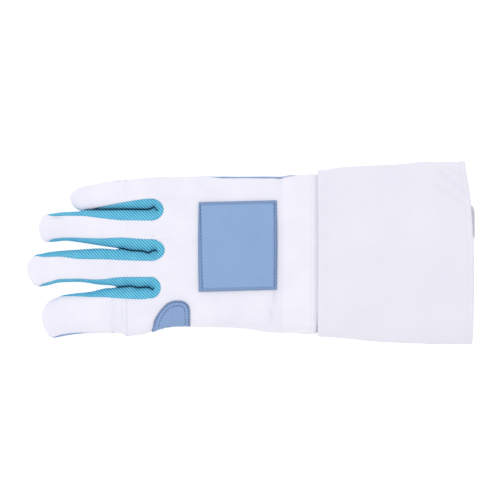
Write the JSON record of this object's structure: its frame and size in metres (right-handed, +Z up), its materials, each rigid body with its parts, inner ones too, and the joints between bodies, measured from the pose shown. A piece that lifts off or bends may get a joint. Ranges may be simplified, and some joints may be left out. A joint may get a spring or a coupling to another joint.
{
  "type": "fencing glove",
  "caption": "Right-hand fencing glove with a padded back, mesh finger gussets, a stitched hand patch and a long open cuff, lying palm down.",
  "frame": {"origin": "on the surface the glove lies on, under the middle of its box", "axes": "+X from the fingertips to the cuff's mouth, +Y towards the little finger, +Z up through the back of the hand"},
  "size_m": [0.3448, 0.1404, 0.0381],
  "materials": {
    "white_cloth": "matt napped microfibre",
    "wrist_cloth": "matt gathered microfibre",
    "cuff_cloth": "matt woven cloth",
    "cyan_mesh": "open knitted mesh with slanting ribs",
    "blue_leather": "soft grained synthetic leather",
    "thumb_leather": "soft grained synthetic leather",
    "patch_leather": "soft grained synthetic leather, stitched round the edge",
    "web_leather": "soft grained synthetic leather, double stitched"
  },
  "bodies": {
    "root": {"back_panel": "white_cloth", "palm_panel": "blue_leather", "gusset_pinky_ring": "cyan_mesh", "gusset_ring_middle": "cyan_mesh", "gusset_middle_index": "cyan_mesh", "hand_patch": "patch_leather", "web_patch": "web_leather", "thumb": "thumb_leather", "wrist_band": "wrist_cloth", "cuff": "cuff_cloth"}
  },
  "joints": []
}
